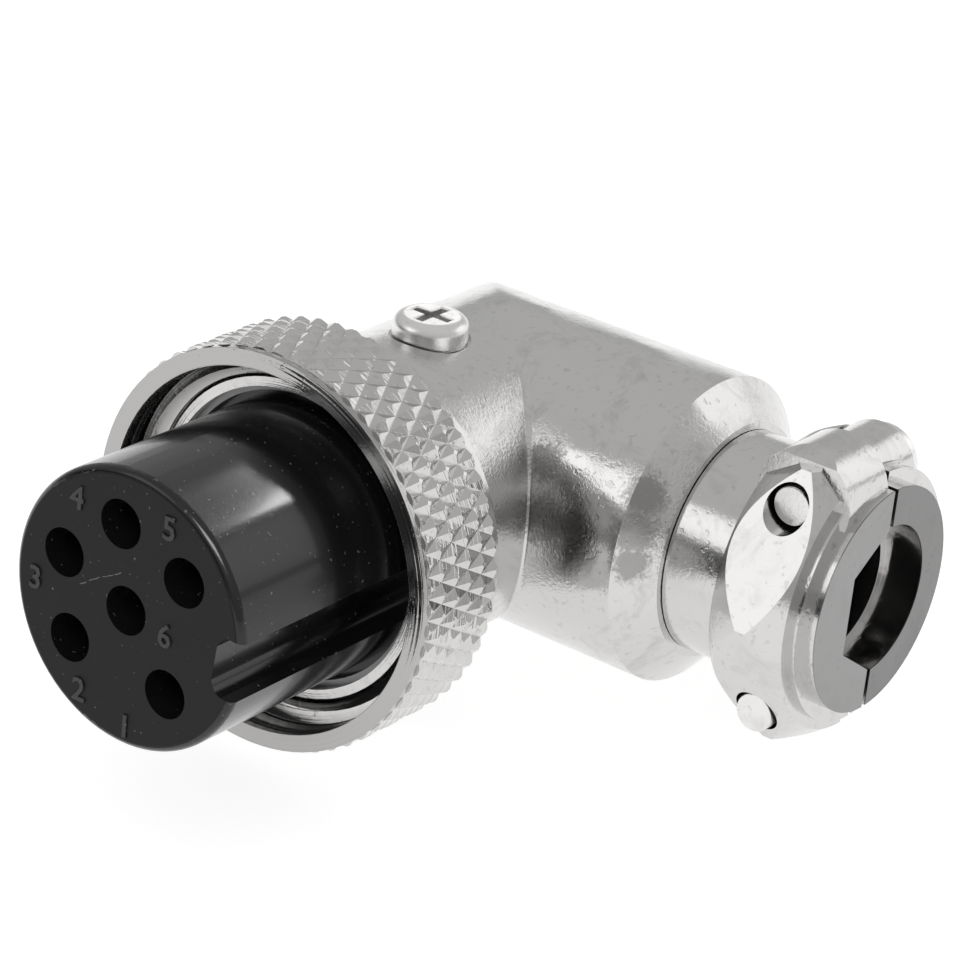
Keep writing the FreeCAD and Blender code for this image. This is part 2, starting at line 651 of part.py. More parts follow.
def make_clamp_body():
    body = new_body("clamp_body", outward)
    hexagon = new_sketch(body, "hexagon", "XY_Plane", "hex_start")
    add_outline(hexagon, [hex_corner(k) for k in range(6)])
    raised(body, hexagon, "hex_length")
    corner = "hex_flats / (2 * cos(30))"
    for name, height, out, reach in (("back", "hex_start", "-past", "hex_back_chamfer"),
                                     ("front", "hex_end", "past", "-hex_front_chamfer")):
        turned(body, name + "_bevel", [
            ("%s - hex_chamfer_drop * (1 - (%s) / (%s))" % (corner, out, reach), "%s + %s" % (height, out)),
            (corner + " + past", "%s + %s" % (height, out)),
            (corner + " + past", "%s + %s * (1 + past / hex_chamfer_drop)" % (height, reach)),
        ], cut=True)
    turned(body, "round_parts", [
        (0, "shoulder_end + skirt_gap"),
        ("skirt_radius", "shoulder_end + skirt_gap"),
        ("skirt_radius", "hex_start + hex_root"),
        ("saddle_radius", "hex_start + hex_root"),
        ("saddle_radius", "hex_end"),
        ("collar_radius", "hex_end"),
        ("collar_radius", "hex_end + collar_lip"),
        ("end_radius", "hex_end + collar_lip"),
        ("end_radius", "clamp_end"),
        (0, "clamp_end"),
    ])
    barrel = new_sketch(body, "barrel", "YZ_Plane", "-boss_reach")
    add_circle(barrel, "boss_radius", "clamp_screw_offset", "clamp_screw_x")
    raised(body, barrel, "boss_reach")
    slope = new_sketch(body, "barrel_slope", "XY_Plane", "clamp_end", "boss_slope_angle")
    add_outline(slope, [
        ("hex_flats / 2 + boss_slope", "-hex_flats"),
        ("hex_flats + boss_slope", "-hex_flats"),
        ("hex_flats + boss_slope", "hex_flats"),
        ("hex_flats / 2 + boss_slope", "hex_flats"),
    ])
    cut(body, slope)
    turned(body, "inside", [
        (0, "shoulder_end"),
        ("neck_radius + neck_fit", "shoulder_end"),
        ("neck_radius + neck_fit", "neck_end + neck_end_gap"),
        ("cavity_radius", "neck_end + neck_end_gap"),
        ("cavity_radius", "clamp_end - jaw_lip"),
        (0, "clamp_end - jaw_lip"),
    ], cut=True)
    jaw = new_sketch(body, "jaw", "XY_Plane", "clamp_end")
    add_outline(jaw, [
        ("-jaw_depth", "-jaw_half_floor"),
        ("0", "-jaw_half_mouth"),
        ("0", "jaw_half_mouth"),
        ("-jaw_depth", "jaw_half_floor"),
    ])
    cut(body, jaw, "jaw_lip + past / 2")
    half = new_sketch(body, "parting", "XY_Plane", "clamp_end + past")
    add_outline(half, [
        ("-parting_gap / 2", "-hex_flats"),
        ("hex_flats", "-hex_flats"),
        ("hex_flats", "hex_flats"),
        ("-parting_gap / 2", "hex_flats"),
    ])
    cut(body, half, "clamp_end + past - split_start")
    holes = new_sketch(body, "screw_holes", "YZ_Plane", 0)
    add_screw_circles(holes, "clamp_screw_radius + clamp_hole_gap")
    cut(body, holes)
    cut_head_seats(body, "ear_thickness - head_room")
    return body


def make_saddle():
    body = new_body("clamp_saddle", outward)
    back = "split_start + saddle_gap"
    turned(body, "ring", [
        ("saddle_arc", back),
        ("saddle_radius", back),
        ("saddle_radius", "hex_end"),
        ("collar_radius", "hex_end"),
        ("collar_radius", "hex_end + collar_lip"),
        ("end_radius", "hex_end + collar_lip"),
        ("end_radius", "clamp_end"),
        ("saddle_arc", "clamp_end"),
        ("saddle_arc", "clamp_screw_x + saddle_rib_width"),
        ("saddle_rib", "clamp_screw_x + saddle_rib_width"),
        ("saddle_rib", "clamp_screw_x"),
        ("saddle_arc", "clamp_screw_x"),
    ])
    half = new_sketch(body, "parting", "XY_Plane", "clamp_end + past")
    add_outline(half, [
        ("-hex_flats", "-hex_flats"),
        ("parting_gap / 2", "-hex_flats"),
        ("parting_gap / 2", "hex_flats"),
        ("-hex_flats", "hex_flats"),
    ])
    cut(body, half, "clamp_end + past")
    for name, radius, side in (("upper_ear", "ear_radius", 1), ("lower_ear", "lower_ear_radius", -1)):
        ear = new_sketch(body, name, "YZ_Plane", "parting_gap / 2")
        add_circle(ear, radius, "%d * clamp_screw_offset" % side, "clamp_screw_x")
        raised(body, ear, "ear_thickness - parting_gap / 2")
    behind = new_sketch(body, "behind", "XY_Plane", back)
    add_outline(behind, [
        ("-hex_flats", "-hex_flats"),
        ("hex_flats", "-hex_flats"),
        ("hex_flats", "hex_flats"),
        ("-hex_flats", "hex_flats"),
    ])
    cut(body, behind)
    cut_head_seats(body, "ear_thickness")
    holes = new_sketch(body, "screw_holes", "YZ_Plane", "hex_flats")
    add_screw_circles(holes, "clamp_screw_radius + clamp_hole_gap")
    cut(body, holes, "hex_flats + past")
    return body


def make_all():
    pieces = [make_insert()]
    for number, step in enumerate(contact_steps, start=1):
        angle = "(first_contact_angle + %g)" % step
        across, up = "contact_circle * cos%s" % angle, "contact_circle * sin%s" % angle
        pieces.append(make_contact(number, across, up))
    pieces.append(make_contact(6, 0, 0))
    pieces += [make_sleeve(), make_ring(), make_nut(), make_housing()]
    pieces.append(make_screw(
        "sleeve_fixing_screw", upright, (0, "-screw_place", "housing_radius - screw_seat_depth"),
        "screw_head_radius", "screw_head_height", "screw_head_round", "screw_shank_radius",
        "housing_radius - screw_seat_depth - sleeve_neck_radius + sleeve_neck_wall - screw_tip_gap"))
    pieces += [make_clamp_body(), make_saddle()]
    for label, side, tip in (("clamp_screw_upper", 1, "upper_tip"), ("clamp_screw_lower", -1, "lower_tip")):
        pieces.append(make_screw(
            label, backward, ("clamp_screw_x", "ear_thickness", "%d * clamp_screw_offset" % side),
            "clamp_head_radius", "clamp_head_height", "clamp_head_round", "clamp_screw_radius",
            "ear_thickness + " + tip))
    return pieces


def check_and_write(pieces):
    doc.recompute()
    for item in doc.Objects:
        if "Invalid" in item.State or "Error" in item.State:
            raise RuntimeError("%s did not build: %s" % (item.Label, item.State))
    for piece in pieces:
        shape = piece.Shape
        if shape.isNull() or not shape.isValid() or not shape.Solids:
            raise RuntimeError("%s has no valid shape" % piece.Label)
    os.makedirs("parts", exist_ok=True)
    for piece in pieces:
        piece.Shape.exportStep("parts/%s.step" % piece.Label)
        box = piece.Shape.BoundBox
        print("%-24s solids %d  volume %8.2f  x %.2f %.2f  y %.2f %.2f  z %.2f %.2f" % (
            piece.Label, len(piece.Shape.Solids), piece.Shape.Volume,
            box.XMin, box.XMax, box.YMin, box.YMax, box.ZMin, box.ZMax))


check_and_write(make_all())
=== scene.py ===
import math

import bmesh
import bpy
from mathutils import Matrix, Vector


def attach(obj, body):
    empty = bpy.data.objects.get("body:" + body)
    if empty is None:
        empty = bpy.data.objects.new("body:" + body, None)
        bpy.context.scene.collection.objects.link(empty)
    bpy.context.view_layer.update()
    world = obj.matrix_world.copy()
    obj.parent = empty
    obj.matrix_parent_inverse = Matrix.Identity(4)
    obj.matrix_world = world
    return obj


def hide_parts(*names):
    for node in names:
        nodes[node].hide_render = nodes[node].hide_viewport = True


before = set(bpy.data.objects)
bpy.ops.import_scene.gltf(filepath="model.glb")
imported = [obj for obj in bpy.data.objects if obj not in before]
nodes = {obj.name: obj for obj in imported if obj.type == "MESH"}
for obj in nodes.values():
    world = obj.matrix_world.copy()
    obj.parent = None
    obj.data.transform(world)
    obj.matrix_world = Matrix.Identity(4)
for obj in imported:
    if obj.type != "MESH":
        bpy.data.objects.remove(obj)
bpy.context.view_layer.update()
mm = 0.001
cableAxis = 25.59 * mm  # y of the cable's axis, counted back from the mating face
print("frame loaded,", len(nodes), "nodes")


# Shader sums: a socket that takes part in Python expressions.
class Signal:
    def __init__(self, paint, socket):
        self.paint = paint
        self.socket = socket

    def maths(self, operation, *values):
        return self.paint.node("ShaderNodeMath", {"operation": operation}, dict(enumerate(values)))

    def __add__(self, other):
        return self.maths("ADD", self, other)

    def __radd__(self, other):
        return self.maths("ADD", other, self)

    def __sub__(self, other):
        return self.maths("SUBTRACT", self, other)

    def __rsub__(self, other):
        return self.maths("SUBTRACT", other, self)

    def __mul__(self, other):
        return self.maths("MULTIPLY", self, other)

    def __rmul__(self, other):
        return self.maths("MULTIPLY", other, self)

    def __truediv__(self, other):
        return self.maths("DIVIDE", self, other)

    def __pow__(self, other):
        return self.maths("POWER", self, other)

    def above(self, limit):
        return self.maths("GREATER_THAN", self, limit)

    def below(self, limit):
        return self.maths("LESS_THAN", self, limit)

    def largest(self, other):
        return self.maths("MAXIMUM", self, other)

    def size(self):
        return self.maths("ABSOLUTE", self)

    def fraction(self):
        return self.maths("FRACT", self)

    def angleFrom(self, other):
        return self.maths("ARCTAN2", self, other)


class Paint:  # the nodes of one material, or of the world
    def __init__(self, owner, coordinates="Object"):
        owner.use_nodes = True
        self.owner = owner
        self.tree = owner.node_tree
        self.tree.nodes.clear()
        self.place = self.node("ShaderNodeTexCoord", {}, {}, coordinates)
        self.axes = [self.node("ShaderNodeSeparateXYZ", {}, {0: self.place}, k) for k in range(3)]

    def node(self, kind, settings, inputs, out=0):
        made = self.tree.nodes.new(kind)
        for name, value in settings.items():
            if name == "stops":
                while len(made.color_ramp.elements) < len(value):
                    made.color_ramp.elements.new(0.5)
                for element, (position, level) in zip(made.color_ramp.elements, value):
                    element.position = position
                    element.color = (level, level, level, 1)
            else:
                setattr(made, name, value)
        for name, value in inputs.items():
            if isinstance(value, Signal):
                self.tree.links.new(value.socket, made.inputs[name])
            else:
                made.inputs[name].default_value = value
        return None if out is None else Signal(self, made.outputs[out])

    def noise(self, perMm, detail=2, roughness=0.5, distortion=0.0):
        inputs = {"Vector": self.place, "Scale": perMm / mm, "Detail": detail,
                  "Roughness": roughness, "Distortion": distortion}
        return self.node("ShaderNodeTexNoise", {}, inputs, "Fac")

    def lines(self, along, perMm):  # random lines that follow one measure
        inputs = {"W": along * (perMm / mm), "Scale": 1.0, "Detail": 2.0}
        return self.node("ShaderNodeTexNoise", {"noise_dimensions": "1D"}, inputs, "Fac")

    def ramp(self, value, stops):
        return self.node("ShaderNodeValToRGB", {"stops": stops}, {"Fac": value})

    def between(self, value, edge, start=0.0, end=1.0):  # start before the edge, end after it
        return self.ramp(value, [(edge[0], start), (edge[1], end)])

    def blend(self, factor, first, second):
        inputs = {0: factor, 6: first, 7: second}
        return self.node("ShaderNodeMix", {"data_type": "RGBA"}, inputs, 2)

    def fromPlugAxis(self):  # distance from the axis along y
        across, up = self.axes[0], self.axes[2]
        return (across * across + up * up) ** 0.5

    def patches(self, look):  # ragged spots round the places given
        nearest = 0.0
        for x, y, z, radius in look["places"]:
            ends = {0: self.place, 1: (x * mm, y * mm, z * mm)}
            away = self.node("ShaderNodeVectorMath", {"operation": "DISTANCE"}, ends, "Value")
            nearest = (1.0 - away / (radius * mm)).largest(nearest)
        noise = self.noise(look["perMm"], look["detail"], look["roughness"], look["distortion"])
        ragged = nearest + (noise - 0.5) * look["ragged"]
        return self.between(ragged, look["edge"], end=look["strength"])

    def bump(self, height, distance, under=None):
        inputs = {"Height": height, "Distance": distance}
        if under is not None:
            inputs["Normal"] = under
        return self.node("ShaderNodeBump", {}, inputs)

    def finish(self, inputs):
        shader = self.node("ShaderNodeBsdfPrincipled", {}, inputs)
        self.node("ShaderNodeOutputMaterial", {}, {"Surface": shader}, None)
        return self.owner


def rgb(level, warm=0.0):
    return (level * (1 + warm), level, level * (1 - warm), 1)


# Plated metal: bright nickel over brass or a zinc casting.
def platedMetal(name, look):
    paint = Paint(bpy.data.materials.new(name))
    cloud = paint.noise(look["cloudPerMm"], 3, 0.55)
    grain = paint.noise(look["grainPerMm"], 3, 0.65)
    patch = paint.between(paint.noise(look["patchPerMm"]), look["patchEdge"], start=look["calm"])
    pits = paint.between(paint.noise(look["pitPerMm"]), look["pitEdge"], 1.0, 0.0)
    stain = paint.between(paint.noise(look["stainPerMm"], 5, 0.7, 0.6), look["stainEdge"])
    mark = (stain * look["stain"]).largest(pits * look["pits"])
    # where the look lists them, ragged patches of painted dark reflection join the stains and pits
    if "tarnish" in look:
        mark = mark.largest(paint.patches(look["tarnish"]))
    colour = paint.blend(mark, look["colour"], look["dull"])
    rough = look["rough"] + (cloud - 0.5) * look["roughSpread"] + mark * look["dullRough"]
    normal = paint.bump(cloud, look["waveHeight"])
    normal = paint.bump(grain * patch, look["grainHeight"], normal)
    normal = paint.bump(1.0 - pits, look["pitHeight"], normal)
    if "turned" in look:
        turned = look["turned"]
        along = paint.fromPlugAxis() + paint.axes[1] * turned["lean"]
        normal = paint.bump(paint.lines(along, turned["perMm"]), turned["height"], normal)
    if "thread" in look:
        thread = look["thread"]
        turns = paint.axes[1] / thread["pitch"] + paint.axes[2].angleFrom(paint.axes[0]) / math.tau
        flank = (turns.fraction() - 0.5).size() * 2.0
        inside = paint.fromPlugAxis().below(thread["within"])
        rim = paint.axes[1].below(thread["rimBack"])
        normal = paint.bump(flank * inside, thread["height"], normal)
        rough = rough + inside * thread["roughMore"]
        # painted shade down in the thread's grooves inside the mouth
        colour = paint.blend(inside * (1.0 - flank), colour, look["dull"])
        # painted shade: the front rim is a darker copy of the same plating, so it reflects less light
        colour = paint.blend(rim * (1.0 - inside), colour, thread["rimShadeColour"])
    if "cut" in look:
        cut = look["cut"]
        face = paint.axes[0].above(cut["face"])
        colour = paint.blend(face * cut["share"], colour, cut["colour"])
        rough = rough + face * cut["roughMore"]
    return paint.finish({
        "Base Color": colour, "Metallic": 1.0, "Roughness": rough, "Normal": normal})


nickelBase = {
    "colour": rgb(0.62, 0.012), "dull": rgb(0.22, 0.02),
    "rough": 0.22, "roughSpread": 0.12, "dullRough": 0.2,
    "cloudPerMm": 0.35, "waveHeight": 0.008 * mm,
    "grainPerMm": 4.5, "grainHeight": 0.012 * mm,
    "patchPerMm": 0.22, "patchEdge": (0.40, 0.58), "calm": 0.5,  # calm: grain between patches
    "pitPerMm": 2.6, "pitEdge": (0.30, 0.38), "pitHeight": 0.004 * mm, "pits": 0.2,
    "stainPerMm": 0.5, "stainEdge": (0.52, 0.72), "stain": 0.2,
}

# Painted dark reflection, in ragged patches, on the elbow's inner side and on its cone: x, y, z and
# radius of each patch in mm.
tarnish = {
    "perMm": 4.6, "detail": 4, "roughness": 0.75, "distortion": 0.5,
    "ragged": 1.4, "edge": (0.24, 0.54), "strength": 0.72,
    "places": [
        (7.2, 19.2, 3.7, 1.5), (8.0, 18.4, 1.3, 1.9), (9.4, 18.4, 1.4, 1.2),
        (12.3, 19.8, 3.6, 1.6), (12.5, 19.1, 2.0, 1.7), (12.6, 18.9, 0.6, 1.4)],
}
# The elbow: smoother and more stained, with its patches of painted dark reflection.
elbowLook = {
    **nickelBase, "rough": 0.10, "waveHeight": 0.02 * mm, "grainPerMm": 6.5, "grainHeight": 0.022 * mm,
    "calm": 0.12, "stain": 0.35, "tarnish": tarnish,
}

# The nut's mouth is threaded up to the given radius, with painted shade in the thread's grooves, and
# its front rim is painted darker as a shaded copy of the same plating.
nutLook = {
    **nickelBase, "colour": rgb(0.60, 0.012), "rough": 0.08, "stain": 0.12, "grainHeight": 0.006 * mm,
    "turned": {"height": 0.02 * mm, "perMm": 5.0, "lean": 0.83},
    "thread": {
        "pitch": 1.0 * mm, "within": 8.42 * mm, "height": 0.30 * mm, "roughMore": 0.1,
        "rimBack": 8.79 * mm, "rimShadeColour": rgb(0.42, 0.012)},
}
sleeveLook = {**nickelBase, "turned": {"height": 0.010 * mm, "perMm": 6.0, "lean": 0.83}}

# Clamp and saddle: the end face, from this x on, is sawn and darker.
clampLook = {
    **nickelBase, "rough": 0.15, "cloudPerMm": 0.5, "grainHeight": 0.008 * mm,
    "cut": {"face": 21.33 * mm, "share": 0.8, "roughMore": 0.14, "colour": rgb(0.20)},
}
saddleLook = {**clampLook, "cut": {**clampLook["cut"], "colour": rgb(0.10)}}
# Screws: their nickel is paler than the other plating, painted light that makes the heads read
# brighter.
screwLook = {**nickelBase, "colour": rgb(0.80, 0.01), "grainPerMm": 7.0, "rough": 0.28}
springLook = {**nickelBase, "colour": rgb(0.2), "rough": 0.35}
contactLook = {**nickelBase, "colour": (0.50, 0.42, 0.30, 1), "rough": 0.3}

finishes = {
    "elbow": platedMetal("elbowNickel", elbowLook),
    "nut": platedMetal("nutNickel", nutLook),
    "sleeve": platedMetal("sleeveNickel", sleeveLook),
    "clamp": platedMetal("clampNickel", clampLook),
    "saddle": platedMetal("saddleNickel", saddleLook),
    "screw": platedMetal("screwNickel", screwLook),
    "spring": platedMetal("springSteel", springLook),
    "contact": platedMetal("contactPlating", contactLook),
}


# Black moulded plastic: matt mating face with a scratch, glossier side, light flecks.
def mouldedPlastic(name, look):
    paint = Paint(bpy.data.materials.new(name))
    cloud = paint.noise(look["cloudPerMm"], 3, 0.6)
    grain = paint.noise(look["grainPerMm"], 2, 0.6)
    fleck = paint.between(paint.noise(look["fleckPerMm"], 1, 0.4), look["fleckEdge"])
    front = paint.axes[1].below(look["faceBack"])
    scratch = look["scratch"]
    (startX, startZ), turn = scratch["start"], math.radians(scratch["turn"])
    right, up = paint.axes[0] - startX * mm, paint.axes[2] - startZ * mm
    along = right * math.cos(turn) + up * math.sin(turn)
    across = up * math.cos(turn) - right * math.sin(turn) + (cloud - 0.5) * scratch["wander"]
    onLine = (scratch["width"] - across.size()).above(0.0) * along.above(0.0)
    broken = paint.noise(scratch["breaksPerMm"], 2, 0.6).above(scratch["breaks"])
    line = onLine * (scratch["length"] - along).above(0.0) * broken * front
    mark = (fleck * look["fleck"]).largest(line * scratch["strength"])
    colour = paint.blend(mark, look["colour"], look["dust"])
    rough = look["rough"] + (cloud - 0.5) * look["roughSpread"] + front * look["roughFront"]
    normal = paint.bump(grain, look["grainHeight"])
    return paint.finish({
        "Base Color": colour, "Roughness": rough, "Normal": normal, "Specular IOR Level": look["gloss"],
        "Coat Weight": (1.0 - front) * look["coat"], "Coat Roughness": look["coatRough"]})


insertLook = {
    "colour": rgb(0.005), "dust": rgb(0.16),
    "rough": 0.24, "roughSpread": 0.10, "roughFront": 0.24,
    "gloss": 0.22, "coat": 0.5, "coatRough": 0.12,
    "faceBack": 0.02 * mm,  # y where the mating face ends
    "cloudPerMm": 0.4, "grainPerMm": 9.0, "grainHeight": 0.004 * mm,
    "fleckPerMm": 5.0, "fleckEdge": (0.73, 0.77), "fleck": 0.5,
    "scratch": {
        "start": (-2.61, 0.27), "turn": 31.0,  # x and z in mm, degrees
        "length": 2.6 * mm, "width": 0.022 * mm, "wander": 0.5 * mm, "strength": 0.6,
        "breaksPerMm": 3.0, "breaks": 0.45},
}
# The numbers are a little lighter than the insert: painted sheen, where the raised numbers catch the
# light.
numbersLook = {**insertLook, "colour": rgb(0.009), "roughFront": 0.04, "gloss": 0.5}
finishes["insert"] = mouldedPlastic("insertBlack", insertLook)
finishes["numbers"] = mouldedPlastic("numberBlack", numbersLook)
print("materials made:", len(finishes))


def roundEdges(form, edges, offset, segments):
    bmesh.ops.bevel(form, geom=edges, offset=offset, offset_type="OFFSET", segments=segments,
                    profile=0.5, affect="EDGES", clamp_overlap=True, material=-1)


def wearTips(form, tips):
    worn = [v for v in form.verts if math.hypot(v.co.x, v.co.z) > tips["radius"]]
    bmesh.ops.bevel(form, geom=worn, offset=tips["worn"], offset_type="OFFSET", segments=1,
                    profile=0.5, affect="VERTICES", clamp_overlap=True, material=-1)


def isSharp(edge, degrees):
    return len(edge.link_faces) == 2 and edge.calc_face_angle(0) > math.radians(degrees)


def isSoft(edge, degrees):
    return len(edge.link_faces) == 2 and edge.calc_face_angle(0) < math.radians(degrees)


# Corner normals that follow the large faces, so that flat faces stay flat beside rounded edges.
def cornerNormals(form, crease):
    form.faces.index_update()
    chosen = {}
    for vert in form.verts:
        waiting = set(vert.link_faces)
        while waiting:
            group = [waiting.pop()]
            for face in group:
                for edge in face.edges:
                    if vert in edge.verts and isSoft(edge, crease):
                        near = set(edge.link_faces) & waiting
                        group.extend(near)
                        waiting -= near
            total = sum((face.normal * face.calc_area() for face in group), Vector()).normalized()
            for face in group:
                chosen[face.index, vert] = total
    return [chosen[face.index, loop.vert] for face in form.faces for loop in face.loops]


# A piece made from a node's own form, with its sharp edges rounded as the real one's are.
def roundedPiece(name, node, body, look):
    form = bmesh.new()
    form.from_mesh(nodes[node].data)
    bmesh.ops.remove_doubles(form, verts=form.verts, dist=look["weld"])
    bmesh.ops.dissolve_limit(form, angle_limit=math.radians(look["flat"]),
                             verts=form.verts, edges=form.edges)
    if "wide" in look:
        wide = look["wide"]
        sharp = [e for e in form.edges if isSharp(e, wide["sharp"])]
        chosen = [e for e in sharp if all(wide["test"](v.co / mm) for v in e.verts)]
        roundEdges(form, chosen, wide["round"], wide["segments"])
    if "tips" in look:
        wearTips(form, look["tips"])
    sharp = [e for e in form.edges if isSharp(e, look["sharp"])]
    roundEdges(form, sharp, look["round"], look["segments"])
    for face in form.faces:
        face.smooth = True
    form.normal_update()
    normals = cornerNormals(form, look["crease"])
    mesh = bpy.data.meshes.new(name)
    form.to_mesh(mesh)
    form.free()
    mesh.normals_split_custom_set(normals)
    piece = bpy.data.objects.new(name, mesh)
    bpy.context.scene.collection.objects.link(piece)
    mesh.materials.append(finishes[look["finish"]])
    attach(piece, body)
    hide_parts(node)
    print(name, "faces", len(mesh.polygons))
    return piece


softEdges = {
    "weld": 0.0005 * mm,  # corners nearer than this become one
    "flat": 0.3,  # degrees: edges flatter than this go
    "sharp": 22.0,  # degrees: edges sharper than this are rounded
    "crease": 40.0,  # degrees: the shading breaks at edges sharper than this
    "segments": 2,
}

socketInsert = {**softEdges, "round": 0.08 * mm, "finish": "insert"}
insert = roundedPiece("socketInsert", "socket_insert", "plug_shell", socketInsert)

frontSleeve = {**softEdges, "round": 0.05 * mm, "finish": "sleeve"}
roundedPiece("frontSleeve", "front_sleeve", "plug_shell", frontSleeve)

couplingNut = {
    **softEdges, "round": 0.03 * mm, "sharp": 18.0, "finish": "nut",
    "tips": {"radius": 9.38 * mm, "worn": 0.15 * mm},  # the knurl's tips are worn flat
}
roundedPiece("couplingNut", "coupling_nut", "nut", couplingNut)

# Where the elbow's two arms meet, in mm: how near to their plane and how far off the axis.
mitre = {"within": 0.02, "outside": 7.2}


def onMitre(at):
    back = at.y - cableAxis / mm
    return abs(at.x + back) < mitre["within"] and math.hypot(at.x, at.z) > mitre["outside"]


elbowShell = {
    **softEdges, "round": 0.16 * mm, "finish": "elbow",
    "wide": {"test": onMitre, "sharp": 4.0, "round": 0.22 * mm, "segments": 3},
}
roundedPiece("elbowShell", "elbow_housing", "plug_shell", elbowShell)

# End of the screw barrel on the clamp body, in mm from where the two axes cross.
barrelEnd = {"along": (16.3, 21.1), "back": (-3.8, -2.2), "up": (4.5, 7.3), "outside": 6.45}


def onBarrel(at):
    place = {"along": at.x, "back": at.y - cableAxis / mm, "up": at.z}
    reach = math.hypot(place["back"], place["up"])
    inBox = all(barrelEnd[side][0] < place[side] < barrelEnd[side][1] for side in place)
    return inBox and reach > barrelEnd["outside"]


clampBody = {
    **softEdges, "round": 0.19 * mm, "segments": 3, "finish": "clamp",
    "wide": {"test": onBarrel, "sharp": 15.0, "round": 0.3 * mm, "segments": 4},
}
roundedPiece("clampBody", "clamp_body", "gland", clampBody)

clampSaddle = {**softEdges, "round": 0.17 * mm, "segments": 3, "finish": "saddle"}
roundedPiece("clampSaddle", "clamp_saddle", "saddle", clampSaddle)

sleeveScrew = {**softEdges, "round": 0.07 * mm, "finish": "screw"}
topScrew = roundedPiece("sleeveScrew", "sleeve_fixing_screw", "plug_shell", sleeveScrew)

clampScrew = {**softEdges, "round": 0.08 * mm, "finish": "screw"}
roundedPiece("upperScrew", "clamp_screw_upper", "upper_screw", clampScrew)
roundedPiece("lowerScrew", "clamp_screw_lower", "lower_screw", clampScrew)

# Raised pin numbers on the mating face.
numerals = {
    "height": 1.05 * mm, "raised": 0.05 * mm,
    "capShare": 0.7,  # a number's height as a share of the text's size
    "edge": 0.02,  # rounding, as a share of the text's size
    "steps": 3,  # steps of a curved stroke
    "weld": 0.001 * mm,
    "places": {  # x and z of each number's middle, mm
        1: (0.37, -5.37), 2: (-2.31, -4.66), 3: (-5.1, -0.37),
        4: (-3.01, 4.13), 5: (2.07, 4.49), 6: (2.21, -0.38)},
}


def makeNumerals():
    form = bmesh.new()
    scale = numerals["height"] / numerals["capShare"]
    for number, (x, z) in numerals["places"].items():
        text = bpy.data.curves.new("numeral", "FONT")
        text.body, text.align_x, text.align_y = str(number), "CENTER", "CENTER"
        text.extrude = numerals["raised"] / scale
        text.bevel_depth = numerals["edge"]
        text.resolution_u = numerals["steps"]
        holder = bpy.data.objects.new("numeral", text)
        bpy.context.scene.collection.objects.link(holder)
        graph = bpy.context.evaluated_depsgraph_get()
        flat = bpy.data.meshes.new_from_object(holder.evaluated_get(graph))
        upright = ((scale, 0, 0, x * mm), (0, 0, -scale, 0), (0, scale, 0, z * mm), (0, 0, 0, 1))
        flat.transform(Matrix(upright))
        form.from_mesh(flat)
        bpy.data.objects.remove(holder)
    bmesh.ops.remove_doubles(form, verts=form.verts, dist=numerals["weld"])
    bmesh.ops.recalc_face_normals(form, faces=form.faces)
    mesh = bpy.data.meshes.new("pinNumbers")
    form.to_mesh(mesh)
    form.free()
    mesh.materials.append(finishes["numbers"])
    piece = bpy.data.objects.new("pinNumbers", mesh)
    bpy.context.scene.collection.objects.link(piece)
    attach(piece, "plug_shell")
    print("pinNumbers faces", len(mesh.polygons))
    return piece


pinNumbers = makeNumerals()

# Nodes whose own shape is right get a finish and nothing else.
carriedOver = {"insert_retaining_ring": "spring", **{"contact_%d" % k: "contact" for k in range(1, 7)}}
for node, finish in carriedOver.items():
    materials = nodes[node].data.materials
    materials.clear()
    materials.append(finishes[finish])
print("pieces made")

# Floor: the plug rests on the nut's back edge and on the elbow, so the floor slopes in its frame.
ground = {
    "nutEdge": (13.39, 9.4), "elbow": (25.59, 7.29),  # y and depth below the axis, mm
    "gap": 0.02 * mm, "half": 4.0,  # half the floor's width, m
    "colour": rgb(0.40), "grainColour": rgb(0.39), "grainPerMm": 0.02,
    "rough": 0.9, "glow": 0.83,
}


def makeFloor():
    (frontY, frontDrop), (backY, backDrop) = ground["nutEdge"], ground["elbow"]
    slope = math.atan2(frontDrop - backDrop, backY - frontY)
    form = bmesh.new()
    bmesh.ops.create_grid(form, x_segments=2, y_segments=2, size=ground["half"])
    bmesh.ops.rotate(form, verts=form.verts, cent=(0, 0, 0), matrix=Matrix.Rotation(slope, 3, "X"))
    bmesh.ops.translate(form, verts=form.verts, vec=(0, backY * mm, -backDrop * mm - ground["gap"]))
    mesh = bpy.data.meshes.new("floor")
    form.to_mesh(mesh)
    form.free()
    floor = bpy.data.objects.new("floor", mesh)
    bpy.context.scene.collection.objects.link(floor)
    paint = Paint(bpy.data.materials.new("floorWhite"))
    colour = paint.blend(paint.noise(ground["grainPerMm"]), ground["colour"], ground["grainColour"])
    mesh.materials.append(paint.finish({
        "Base Color": colour, "Roughness": ground["rough"],
        "Emission Color": rgb(1.0), "Emission Strength": ground["glow"]}))
    return floor


floor = makeFloor()

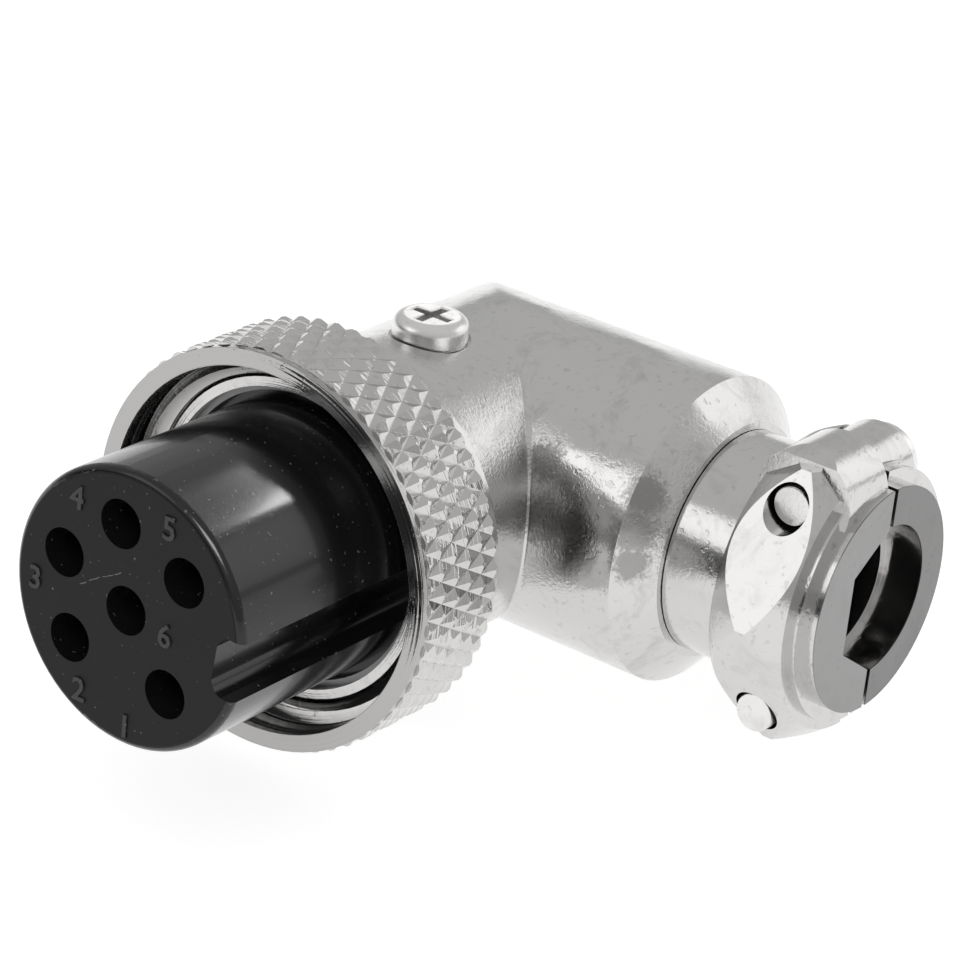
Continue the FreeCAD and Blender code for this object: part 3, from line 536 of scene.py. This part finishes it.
# Studio: a soft tent, dark low down on the left in front, and softboxes that show in the metal.
# A light with "on" reaches only those pieces. "way" is a direction, "at" and "to" are places in mm.
studio = {
    "middle": (6 * mm, 17 * mm, 0),
    "tent": [(0.0, 0.42), (0.20, 0.50), (0.45, 0.58), (1.0, 0.62)],  # height, radiance
    "darkWay": (-0.57, -0.82, 0.0),
    "dark": [(0.50, 1.0), (0.90, 0.06)],
    "darkTop": [(0.14, 1.0), (0.25, 0.0)],
    "boxes": {
        "frontBox": {
            "way": (-0.468, -0.749, 0.469), "away": 0.45, "size": (0.22, 0.20), "radiance": 0.85},
        "backBox": {
            "way": (0.45, 0.80, 0.42), "away": 0.45, "size": (0.34, 0.20), "radiance": 0.75},
        "floorLight": {
            "way": (0, -0.1, 1.0), "away": 0.90, "size": (0.9, 0.9), "radiance": 0.35,
            "on": [floor]},
        "sideGlint": {
            "at": (5.0, 37.2, 33.0), "to": (3.0, 7.5, 5.6), "size": (0.026, 0.003), "radiance": 20.0,
            "on": [insert, pinNumbers]},
        "edgeGlint": {
            "at": (40.0, -55.0, 62.0), "to": (4.2, 0.2, 4.6), "size": (0.05, 0.03), "radiance": 9.0,
            "on": [insert, pinNumbers]},
        "screwGlow": {
            "way": (-0.51, 0.76, 0.41), "away": 0.45, "size": (0.12, 0.10), "radiance": 1.2,
            "on": [topScrew]},
    },
}


def makeTent():
    world = bpy.data.worlds.new("studio")
    bpy.context.scene.world = world
    paint = Paint(world, "Generated")
    height = paint.axes[2].largest(0.0)
    way = Vector(studio["darkWay"]).normalized()
    facing = (paint.axes[0] * way.x + paint.axes[1] * way.y).largest(0.0)
    low = paint.ramp(height, studio["darkTop"])
    dark = 1.0 - (1.0 - paint.ramp(facing, studio["dark"])) * low
    tent = paint.ramp(height, studio["tent"])
    light = paint.node("ShaderNodeBackground", {}, {"Color": rgb(1.0), "Strength": tent * dark})
    paint.node("ShaderNodeOutputWorld", {}, {"Surface": light}, None)


def makeLight(name, box):
    data = bpy.data.lights.new(name, "AREA")
    data.shape = "RECTANGLE"
    data.size, data.size_y = box["size"]
    data.energy = box["radiance"] * math.pi * data.size * data.size_y
    lamp = bpy.data.objects.new(name, data)
    if "at" in box:
        lamp.location = Vector(box["at"]) * mm
        way = (Vector(box["at"]) - Vector(box["to"])).normalized()
    else:
        way = Vector(box["way"]).normalized()
        lamp.location = Vector(studio["middle"]) + way * box["away"]
    lamp.rotation_mode = "QUATERNION"
    lamp.rotation_quaternion = (-way).to_track_quat("-Z", "Y")
    lamp.visible_camera = False
    bpy.context.scene.collection.objects.link(lamp)
    if "on" in box:
        only = bpy.data.collections.new(name + "Only")
        for piece in box["on"]:
            only.objects.link(piece)
        lamp.light_linking.receiver_collection = only


makeTent()
for name, box in studio["boxes"].items():
    makeLight(name, box)
print("floor and", len(studio["boxes"]), "lights made")

# Camera, found from the round edges in the photograph.
view = {
    "azimuth": 0.603, "elevation": 0.4237, "roll": 0.1079,  # radians
    "focal": 3718.2723, "frame": 962, "sensor": 36.0,  # pixels, pixels, mm
    "distance": 174.3711, "across": 0.5434, "up": 1.6368,  # mm, from where the two axes cross
    "near": 0.01, "far": 20,  # m
}


def makeCamera():
    a, e, roll = view["azimuth"], view["elevation"], view["roll"]
    right = Vector((math.cos(a), math.sin(a), 0))
    back = Vector((math.sin(a) * math.cos(e), -math.cos(a) * math.cos(e), math.sin(e)))
    up = back.cross(right)
    turnedRight = math.cos(roll) * right + math.sin(roll) * up
    turnedUp = -math.sin(roll) * right + math.cos(roll) * up
    rotation = Matrix((turnedRight, turnedUp, back)).transposed()
    place = rotation @ (Vector((-view["across"], -view["up"], view["distance"])) * mm)
    data = bpy.data.cameras.new("camera")
    data.sensor_width = view["sensor"]
    data.lens = view["focal"] / view["frame"] * view["sensor"]
    data.clip_start, data.clip_end = view["near"], view["far"]
    camera = bpy.data.objects.new("camera", data)
    camera.matrix_world = Matrix.Translation(place + Vector((0, cableAxis, 0))) @ rotation.to_4x4()
    bpy.context.scene.collection.objects.link(camera)
    bpy.context.scene.camera = camera


makeCamera()
bpy.context.scene.view_settings.view_transform = "Standard"
print("camera made")
